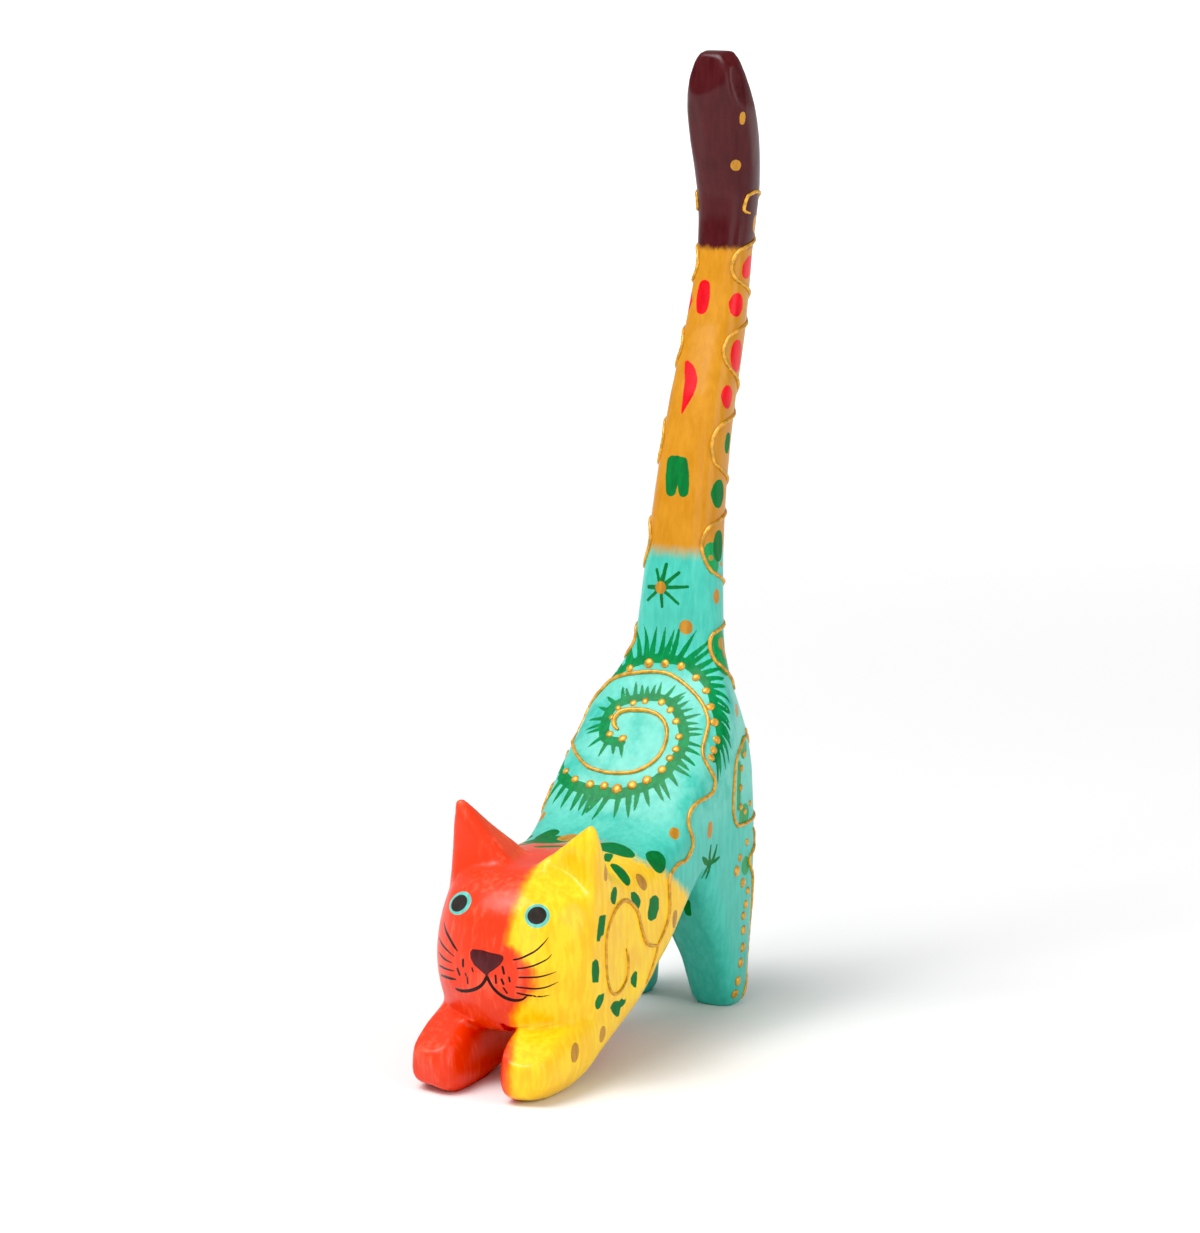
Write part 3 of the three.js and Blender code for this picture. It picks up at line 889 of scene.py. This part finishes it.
def refine_near(skin, distances, reach):
    """Halves the skin's cells wherever an edge of one of the marks is within reach mm."""
    wanted = np.zeros(len(skin.verts), bool)
    for distance in distances:
        wanted |= np.abs(distance) < reach
    skin.verts.ensure_lookup_table()
    edges = [edge for edge in skin.edges if wanted[edge.verts[0].index] or wanted[edge.verts[1].index]]
    bmesh.ops.subdivide_edges(skin, edges=edges, cuts=1, use_grid_fill=True, smooth=0)
    skin.verts.index_update()
    skin.normal_update()


def red_yellow_border(points):
    """mm from the border down the face between red and yellow, above zero on the red side."""
    heights = (0, 5.4, 9.3, 12, 13.9, 16.4, 18.1, 19.8, 22, 26, 27.9, 29.8, 30.6, 35, 38.9, 41.9, 43.2)
    places = (8.0, 8.2, 8.4, 6.0, 4.5, 4.7, 5.9, 7.3, 9.2, 9.4, 7.3, 5.8, 4.0, 4.2, 4.2, 3.9, 3.2)
    return np.interp(points[:, 2], heights, places) - points[:, 0]


def warm_turquoise_border(points):
    """mm from the border between the warm front and the turquoise back, above zero in front."""
    across = (-17, -12, -7, -2, 3, 9.2, 14.1, 17)
    along = (-14, -14.4, -14.8, -12.6, -9.9, -12.9, -13.6, -13.4)
    top = np.interp(points[:, 0], across, along)
    border = np.minimum(top + 1.5 * np.maximum(0, 40.9 - points[:, 2]), 4.0)
    return (border - points[:, 1]) * 0.6


def painted_cat():
    """The whole carving with the attributes that its paint reads."""
    skin = carved_skin()
    surface = Surface(skin)
    thin = [brushed(surface, *stroke) for stroke in WHISKER_STROKES + MUZZLE_SPOTS + MOUTH_STROKES]
    earth = [dabbed(surface, *dab) for dab in FLANK_EARTH_DABS]
    earth_once = [dabbed(surface, *dab) for dab in NAPE_EARTH_DABS + TAIL_EARTH_DABS + RUMP_EARTH_DABS]
    peppers = [dabbed(surface, *dab) for dab in TAIL_PEPPERS[1:]]
    pepper_once = [dabbed(surface, *TAIL_PEPPERS[0])] + [brushed(surface, *s) for s in CHILI_STROKES]
    marks = {
        "bright_green": loop_fills(surface),
        "leaf_green": leaf_marks(surface),
        "fringe_green": fringe_marks(surface),
        "pepper_red": both_sides(peppers) + pepper_once,
        "old_gold": both_sides(earth) + earth_once,
        "ink": thin,
    }
    distances = paint_distances(skin, surface, marks)
    refine_near(skin, distances.values(), NEAR_MARK)
    distances = paint_distances(skin, surface, marks)
    refine_near(skin, [distances[name] for name in ("ink", "eye_ring", "pupil")], NEAR_MARK * 0.5)
    distances = paint_distances(skin, surface, marks)
    points, _ = skin_arrays(skin)
    distances["red_side"] = red_yellow_border(points)
    distances["warm_front"] = warm_turquoise_border(points)
    distances["edge_rub"] = edge_rub(skin, points)
    mesh = bpy.data.meshes.new("painted_cat")
    skin.to_mesh(mesh)
    skin.free()
    mesh.shade_smooth()
    for name, values in distances.items():
        attribute = mesh.attributes.new(name, "FLOAT", "POINT")
        attribute.data.foreach_set("value", np.asarray(values, np.float32))
    cat = bpy.data.objects.new("painted_cat", mesh)
    bpy.context.scene.collection.objects.link(cat)
    return cat, surface


def edge_rub(skin, points):
    """How far the skin bulges at each point, in mm: high along carved edges, where paint wears first."""
    first = np.array([edge.verts[0].index for edge in skin.edges])
    second = np.array([edge.verts[1].index for edge in skin.edges])
    count = np.zeros(len(points))
    np.add.at(count, first, 1)
    np.add.at(count, second, 1)
    smooth = points.copy()
    for _ in range(6):
        total = np.zeros_like(smooth)
        np.add.at(total, first, smooth[second])
        np.add.at(total, second, smooth[first])
        smooth = 0.5 * smooth + 0.5 * total / count[:, None]
    normals = np.array([tuple(vert.normal) for vert in skin.verts])
    return np.einsum("ij,ij->i", points - smooth, normals)


# The raised gold

def gold_line(name, places, facings, widths, chance):
    """A raised line of gold along places on the skin, as a mesh, with its width in pixels along it."""
    curve = bpy.data.curves.new(name, "CURVE")
    curve.dimensions = "3D"
    curve.bevel_depth = 1.0
    curve.bevel_resolution = 2
    curve.use_fill_caps = True
    spline = curve.splines.new("POLY")
    spline.points.add(len(places) - 1)
    for i, (place, facing) in enumerate(zip(places, facings)):
        width = float(np.interp(i / (len(places) - 1), [w[0] for w in widths], [w[1] for w in widths]))
        radius = width / 2 * CAMERA_DISTANCE / FOCAL_PIXELS
        lifted = place + facing * radius * 0.25
        end = min(i, len(places) - 1 - i) / 3
        spline.points[i].co = (*lifted, 1)
        spline.points[i].radius = radius * min(1.0, 0.55 + 0.45 * end) * chance.uniform(0.9, 1.1)
    line = bpy.data.objects.new(name, curve)
    bpy.context.scene.collection.objects.link(line)
    bpy.context.view_layer.update()
    mesh = bpy.data.meshes.new_from_object(line.evaluated_get(bpy.context.evaluated_depsgraph_get()))
    bpy.data.objects.remove(line)
    bpy.data.curves.remove(curve)
    return mesh


def gold_dot(drops, place, facing, radius):
    """One drop of gold that dried on the skin, added to the bmesh drops."""
    turn = facing.to_track_quat("Z", "Y").to_matrix().to_4x4()
    flat = Matrix.Diagonal((radius * 1.12, radius * 1.12, radius * 0.42, 1))
    where = Matrix.Translation(place) @ turn @ flat
    bmesh.ops.create_uvsphere(drops, u_segments=12, v_segments=6, radius=1, matrix=where)


def snapped(surface, places):
    """Places and facings moved onto the nearest skin."""
    pairs = [surface.nearest(place) for place in places]
    return [pair[0] for pair in pairs], [pair[1] for pair in pairs]


def carried_round(surface, places, facings):
    """A run whose stretches along the carving's outline go on round it in arcs, as a free hand draws."""
    points = np.array([tuple(place) for place in places])
    at_rim = np.array([facing.dot(BACK) < RIM for facing in facings]).astype(int)
    turns = np.flatnonzero(np.diff(np.concatenate([[0], at_rim, [0]])))
    for first, last in zip(turns[::2], turns[1::2]):
        share = (np.arange(last - first) + 0.5) / (last - first)
        length = np.linalg.norm(points[last - 1] - points[first]) / MM
        bulge = min(ROUND_THE_RIM, 0.4 * length)
        points[first:last] -= np.outer(np.sin(math.pi * share) * bulge * MM, BACK)
    loose = np.convolve(at_rim, np.ones(11), "same")[1:-1, None] > 0
    for _ in range(RIM_ROUNDS):
        middle = 0.5 * points[1:-1] + 0.25 * (points[:-2] + points[2:])
        points[1:-1] = np.where(loose, middle, points[1:-1])
    return snapped(surface, [Vector(point) for point in points])


def line_run(surface, pixels):
    """A smooth run on the skin through pixels."""
    return surface.trail(flowing(pixels, LINE_STEP))


def closed_drop(surface):
    """The loop on the haunch, closed round the side that the photograph doesn't show."""
    places, facings = line_run(surface, HAUNCH_DROP)
    hidden_places, _ = joined_run(surface, places[-1], places[0], DROP_BULGE)
    facings = facings + facings[:1] * (len(hidden_places) + 1)
    return carried_round(surface, places + hidden_places + places[:1], facings)


def gold_runs(surface):
    """All raised lines as places, facings and widths."""
    start_places, start_facings = line_run(surface, SPIRAL_START)
    end_places, end_facings = line_run(surface, SPIRAL_END)
    hidden_places, hidden_facings = joined_run(surface, start_places[-1], end_places[0], SPIRAL_BULGE)
    spiral_places = start_places + hidden_places + end_places
    spiral_facings = start_facings + hidden_facings + end_facings
    spiral = (spiral_places, spiral_facings, SPIRAL_WIDTH)
    sides = [
        (*line_run(surface, FLANK_HOOK), HOOK_WIDTH),
        (*carried_round(surface, *line_run(surface, TAIL_WAVE)), WAVE_WIDTH),
        (*closed_drop(surface), DROP_WIDTH),
        (*carried_round(surface, *line_run(surface, LEG_LINE)), LEG_WIDTH),
    ]
    low_end = (*line_run(surface, SPIRAL_END[LOW_END:]), LEG_WIDTH)
    others = [(*snapped(surface, mirrored(places)), widths) for places, _, widths in sides + [low_end]]
    return [spiral] + sides + others


def gold_relief(surface):
    """The raised gold lines and dots as one piece."""
    chance = random.Random(GOLD_SEED)
    drops = bmesh.new()
    for number, (places, facings, widths) in enumerate(gold_runs(surface)):
        line = gold_line(f"gold_run_{number}", places, facings, widths, chance)
        drops.from_mesh(line)
        bpy.data.meshes.remove(line)
    pixel = CAMERA_DISTANCE / FOCAL_PIXELS
    for across, down, radius in INNER_DOTS + OUTER_DOTS:
        place, facing = surface.touch((across, down))
        gold_dot(drops, place, facing, radius * pixel)
    for across, down, radius in HAUNCH_DOTS + LEG_DOTS:
        place, facing = surface.touch((across, down))
        gold_dot(drops, place, facing, radius * pixel)
        place, facing = surface.nearest(mirrored([place])[0])
        gold_dot(drops, place, facing, radius * pixel)
    bmesh.ops.recalc_face_normals(drops, faces=drops.faces)
    mesh = bpy.data.meshes.new("gold_relief")
    drops.to_mesh(mesh)
    drops.free()
    mesh.shade_smooth()
    relief = bpy.data.objects.new("gold_relief", mesh)
    bpy.context.scene.collection.objects.link(relief)
    return relief


# Materials

class Shades:
    """A material's nodes, added and joined in few words."""

    def __init__(self, name):
        self.material = bpy.data.materials.new(name)
        self.material.use_nodes = True
        self.tree = self.material.node_tree
        self.shader = self.tree.nodes["Principled BSDF"]
        self.object_place = self.tree.nodes.new("ShaderNodeTexCoord").outputs["Object"]

    def link(self, source, socket):
        """Joins an output to an input, or sets the input to a plain value."""
        if isinstance(source, bpy.types.NodeSocket):
            self.tree.links.new(source, socket)
        else:
            socket.default_value = source

    def math(self, operation, first, second=0.0):
        node = self.tree.nodes.new("ShaderNodeMath")
        node.operation = operation
        self.link(first, node.inputs[0])
        self.link(second, node.inputs[1])
        return node.outputs[0]

    def noise(self, size_mm, stretch=(1, 1, 1), detail=3.0, rough=0.55):
        """Cloudy grey of a given grain in mm, drawn out along an axis where its stretch is below 1."""
        mapping = self.tree.nodes.new("ShaderNodeMapping")
        mapping.inputs["Scale"].default_value = stretch
        self.link(self.object_place, mapping.inputs["Vector"])
        node = self.tree.nodes.new("ShaderNodeTexNoise")
        node.inputs["Scale"].default_value = 1 / (size_mm * MM)
        node.inputs["Detail"].default_value = detail
        node.inputs["Roughness"].default_value = rough
        self.link(mapping.outputs[0], node.inputs["Vector"])
        return node.outputs["Fac"]

    def ramp(self, value, low, high, start=0.0, end=1.0):
        """A value between low and high, carried over to start and end with a soft beginning and end."""
        node = self.tree.nodes.new("ShaderNodeMapRange")
        node.interpolation_type = "SMOOTHSTEP"
        self.link(value, node.inputs["Value"])
        node.inputs["From Min"].default_value = low
        node.inputs["From Max"].default_value = high
        node.inputs["To Min"].default_value = start
        node.inputs["To Max"].default_value = end
        return node.outputs["Result"]

    def mix(self, share, first, second):
        node = self.tree.nodes.new("ShaderNodeMix")
        node.data_type = "RGBA"
        self.link(share, node.inputs["Factor"])
        self.link(first, node.inputs[6])
        self.link(second, node.inputs[7])
        return node.outputs[2]

    def attribute(self, name):
        node = self.tree.nodes.new("ShaderNodeAttribute")
        node.attribute_name = name
        return node.outputs["Fac"]

    def height(self):
        """Height above the floor in mm."""
        node = self.tree.nodes.new("ShaderNodeSeparateXYZ")
        self.link(self.object_place, node.inputs[0])
        return self.math("MULTIPLY", node.outputs["Z"], 1000.0)

    def bump(self, value, depth_mm, strength, under=None):
        node = self.tree.nodes.new("ShaderNodeBump")
        node.inputs["Strength"].default_value = strength
        node.inputs["Distance"].default_value = depth_mm * MM
        self.link(value, node.inputs["Height"])
        if under:
            self.link(under, node.inputs["Normal"])
        return node.outputs[0]


def paint_material():
    """Satin paint in zones, with brush marks over them, on carved wood, and a painted highlight on the back.
    """
    s = Shades("painted carved wood")
    streaks = s.noise(1.1, (1, 1, 0.16), 4.0)
    clouds = s.noise(7.0)
    ragged = s.noise(0.9, (1, 1, 0.45), 3.0)
    fine = s.noise(0.5)
    patchy = s.math("ADD", s.math("MULTIPLY", streaks, 0.6), s.math("MULTIPLY", clouds, 0.4))
    patch = s.ramp(patchy, 0.30, 0.72)

    turquoise = s.mix(patch, linear(TURQUOISE), linear(PALE_TURQUOISE))
    turquoise = s.mix(s.ramp(s.height(), 48, 20, 0.0, 0.15), turquoise, linear(DEEP_TURQUOISE))
    # Painted highlight: on the back, between 40 and 78 mm up, cloudy patches turn up to a third whitish,
    # standing in for the broad gloss that the light leaves there.
    back = s.math("MULTIPLY", s.ramp(s.height(), 40, 50), s.ramp(s.height(), 78, 64))
    painted_back_highlight = s.math("MULTIPLY", back, s.ramp(clouds, 0.35, 0.6, 0.0, 0.34))
    turquoise = s.mix(painted_back_highlight, turquoise, linear(HIGHLIGHT_TURQUOISE))
    yellow = s.mix(s.ramp(patchy, 0.40, 0.62), linear(DEEP_YELLOW), linear(YELLOW))
    red = s.mix(s.ramp(patchy, 0.48, 0.72), linear(RED), linear(PINK_RED))
    ochre = s.mix(patch, linear(DEEP_OCHRE), linear(OCHRE))
    maroon = s.mix(patch, linear(DEEP_MAROON), linear(MAROON))

    wander = s.math("MULTIPLY", s.math("SUBTRACT", ragged, 0.5), 1.5)
    red_side = s.math("ADD", s.attribute("red_side"), wander)
    blend = s.mix(s.ramp(red_side, -1.4, 0.2), yellow, linear(ORANGE))
    front = s.mix(s.ramp(red_side, -0.2, 1.2), blend, red)
    wide = s.math("MULTIPLY", s.math("SUBTRACT", ragged, 0.5), 4.5)
    warm = s.math("ADD", s.attribute("warm_front"), wide)
    body = s.mix(s.ramp(warm, -1.2, 1.4), turquoise, front)
    height = s.math("ADD", s.height(), s.math("MULTIPLY", wander, 1.2))
    body = s.mix(s.ramp(height, 94.6, 98.4), body, ochre)
    colour = s.mix(s.ramp(height, 157.8, 159.4), body, maroon)

    feather = s.math("MULTIPLY", s.math("SUBTRACT", fine, 0.5), 0.30)
    for name, shade, softness in (
        ("bright_green", BRIGHT_GREEN, 0.10), ("fringe_green", FRINGE_GREEN, 0.07),
        ("leaf_green", LEAF_GREEN, 0.07), ("pepper_red", PEPPER_RED, 0.07),
        # The pupils' grey carries painted sheen as well as their paint.
        ("old_gold", OLD_GOLD, 0.07), ("eye_ring", EYE_BLUE, 0.05), ("pupil", PUPIL_GREY_AND_SHEEN, 0.05),
        ("nose", NOSE_MAROON, 0.05), ("ink", INK, 0.04),
    ):
        edge = s.attribute(name)
        if name in ("bright_green", "fringe_green", "leaf_green", "pepper_red", "old_gold"):
            edge = s.math("ADD", edge, feather)
        tint = tuple(part * 0.72 for part in linear(shade)[:3]) + (1.0,)
        paint = s.mix(s.ramp(streaks, 0.35, 0.65), tint, linear(shade))
        colour = s.mix(s.ramp(edge, -softness, softness, 1.0, 0.0), colour, paint)
    rub = s.math("ADD", s.attribute("edge_rub"), s.math("MULTIPLY", s.math("SUBTRACT", fine, 0.5), 0.35))
    colour = s.mix(s.ramp(rub, 0.34, 0.52, 0.0, 0.5), colour, linear(BARE_WOOD))
    s.link(colour, s.shader.inputs["Base Color"])

    gloss = s.ramp(patchy, 0.3, 0.7, 0.3, 0.42)
    greens = s.math("MINIMUM", s.attribute("leaf_green"), s.attribute("fringe_green"))
    brushed_on = s.ramp(greens, -0.1, 0.1, 0.35, 0.0)
    s.link(s.math("ADD", gloss, brushed_on), s.shader.inputs["Roughness"])
    s.shader.inputs["Specular IOR Level"].default_value = 0.22
    s.shader.inputs["Coat Weight"].default_value = 0.2
    s.shader.inputs["Coat Roughness"].default_value = 0.2
    knife = s.bump(s.noise(3.4, (1, 1, 0.4), 2.0), 0.14, 0.8)
    grain = s.bump(streaks, 0.028, 0.8, knife)
    pores = s.bump(fine, 0.012, 0.7, grain)
    s.link(pores, s.shader.inputs["Normal"])
    return s.material


def gold_material():
    """Gold liner that dried with a soft metal gleam."""
    s = Shades("raised gold liner")
    cloud = s.noise(1.2)
    deep = tuple(part * 0.62 for part in linear(GOLD_LINER)[:3]) + (1.0,)
    s.link(s.mix(s.ramp(cloud, 0.35, 0.65), deep, linear(GOLD_LINER)), s.shader.inputs["Base Color"])
    s.shader.inputs["Metallic"].default_value = 0.4
    s.link(s.ramp(cloud, 0.3, 0.7, 0.3, 0.45), s.shader.inputs["Roughness"])
    s.link(s.bump(s.noise(0.4), 0.03, 0.8), s.shader.inputs["Normal"])
    return s.material


def floor_material():
    """Plain near-white paper."""
    s = Shades("white paper sweep")
    s.shader.inputs["Base Color"].default_value = linear(FLOOR_WHITE)
    s.shader.inputs["Roughness"].default_value = 0.9
    s.shader.inputs["Specular IOR Level"].default_value = 0.0
    s.shader.inputs["Emission Color"].default_value = (1, 1, 1, 1)
    away = s.tree.nodes.new("ShaderNodeVectorMath")
    away.operation = "LENGTH"
    s.link(s.object_place, away.inputs[0])
    glow = s.ramp(away.outputs["Value"], GLOW_STARTS, GLOW_FULL, 0.0, FLOOR_GLOW)
    s.link(glow, s.shader.inputs["Emission Strength"])
    return s.material


# The studio

def add_floor():
    paper = bmesh.new()
    bmesh.ops.create_grid(paper, x_segments=1, y_segments=1, size=12.0)
    mesh = bpy.data.meshes.new("floor")
    paper.to_mesh(mesh)
    paper.free()
    mesh.materials.append(floor_material())
    floor = bpy.data.objects.new("floor", mesh)
    bpy.context.scene.collection.objects.link(floor)


def add_camera():
    data = bpy.data.cameras.new("camera")
    data.sensor_width = SENSOR
    data.sensor_fit = "AUTO"
    data.lens = FOCAL_PIXELS / PHOTO_HEIGHT * SENSOR
    data.clip_end = 50
    camera = bpy.data.objects.new("camera", data)
    turn = Matrix((RIGHT, UP, BACK)).transposed().to_4x4()
    camera.matrix_world = Matrix.Translation(EYE) @ turn
    bpy.context.scene.collection.objects.link(camera)
    bpy.context.scene.camera = camera


def add_light(name, place, size, power, target=(0, 0, 0.07)):
    """A soft square light that faces target."""
    data = bpy.data.lights.new(name, "AREA")
    data.shape = "SQUARE"
    data.size = size
    data.energy = power
    light = bpy.data.objects.new(name, data)
    light.location = place
    light.rotation_euler = (Vector(target) - Vector(place)).to_track_quat("-Z", "Y").to_euler()
    bpy.context.scene.collection.objects.link(light)


def add_lights():
    for light in LIGHTS:
        add_light(*light)
    world = bpy.data.worlds.new("white room")
    world.use_nodes = True
    background = world.node_tree.nodes["Background"]
    background.inputs["Color"].default_value = (1, 1, 1, 1)
    background.inputs["Strength"].default_value = ROOM_LIGHT
    bpy.context.scene.world = world


def develop_picture():
    """Plain colours, with the lens haze taken off."""
    view = bpy.context.scene.view_settings
    view.view_transform = "Standard"
    view.use_curve_mapping = True
    view.curve_mapping.black_level = (HAZE, HAZE, HAZE)
    view.curve_mapping.update()


def main():
    cat, surface = painted_cat()
    cat.data.materials.append(paint_material())
    relief = gold_relief(surface)
    relief.data.materials.append(gold_material())
    for piece in (cat, relief):
        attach(piece, "root")
    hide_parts("carved_cat")
    add_floor()
    add_camera()
    add_lights()
    develop_picture()


main()
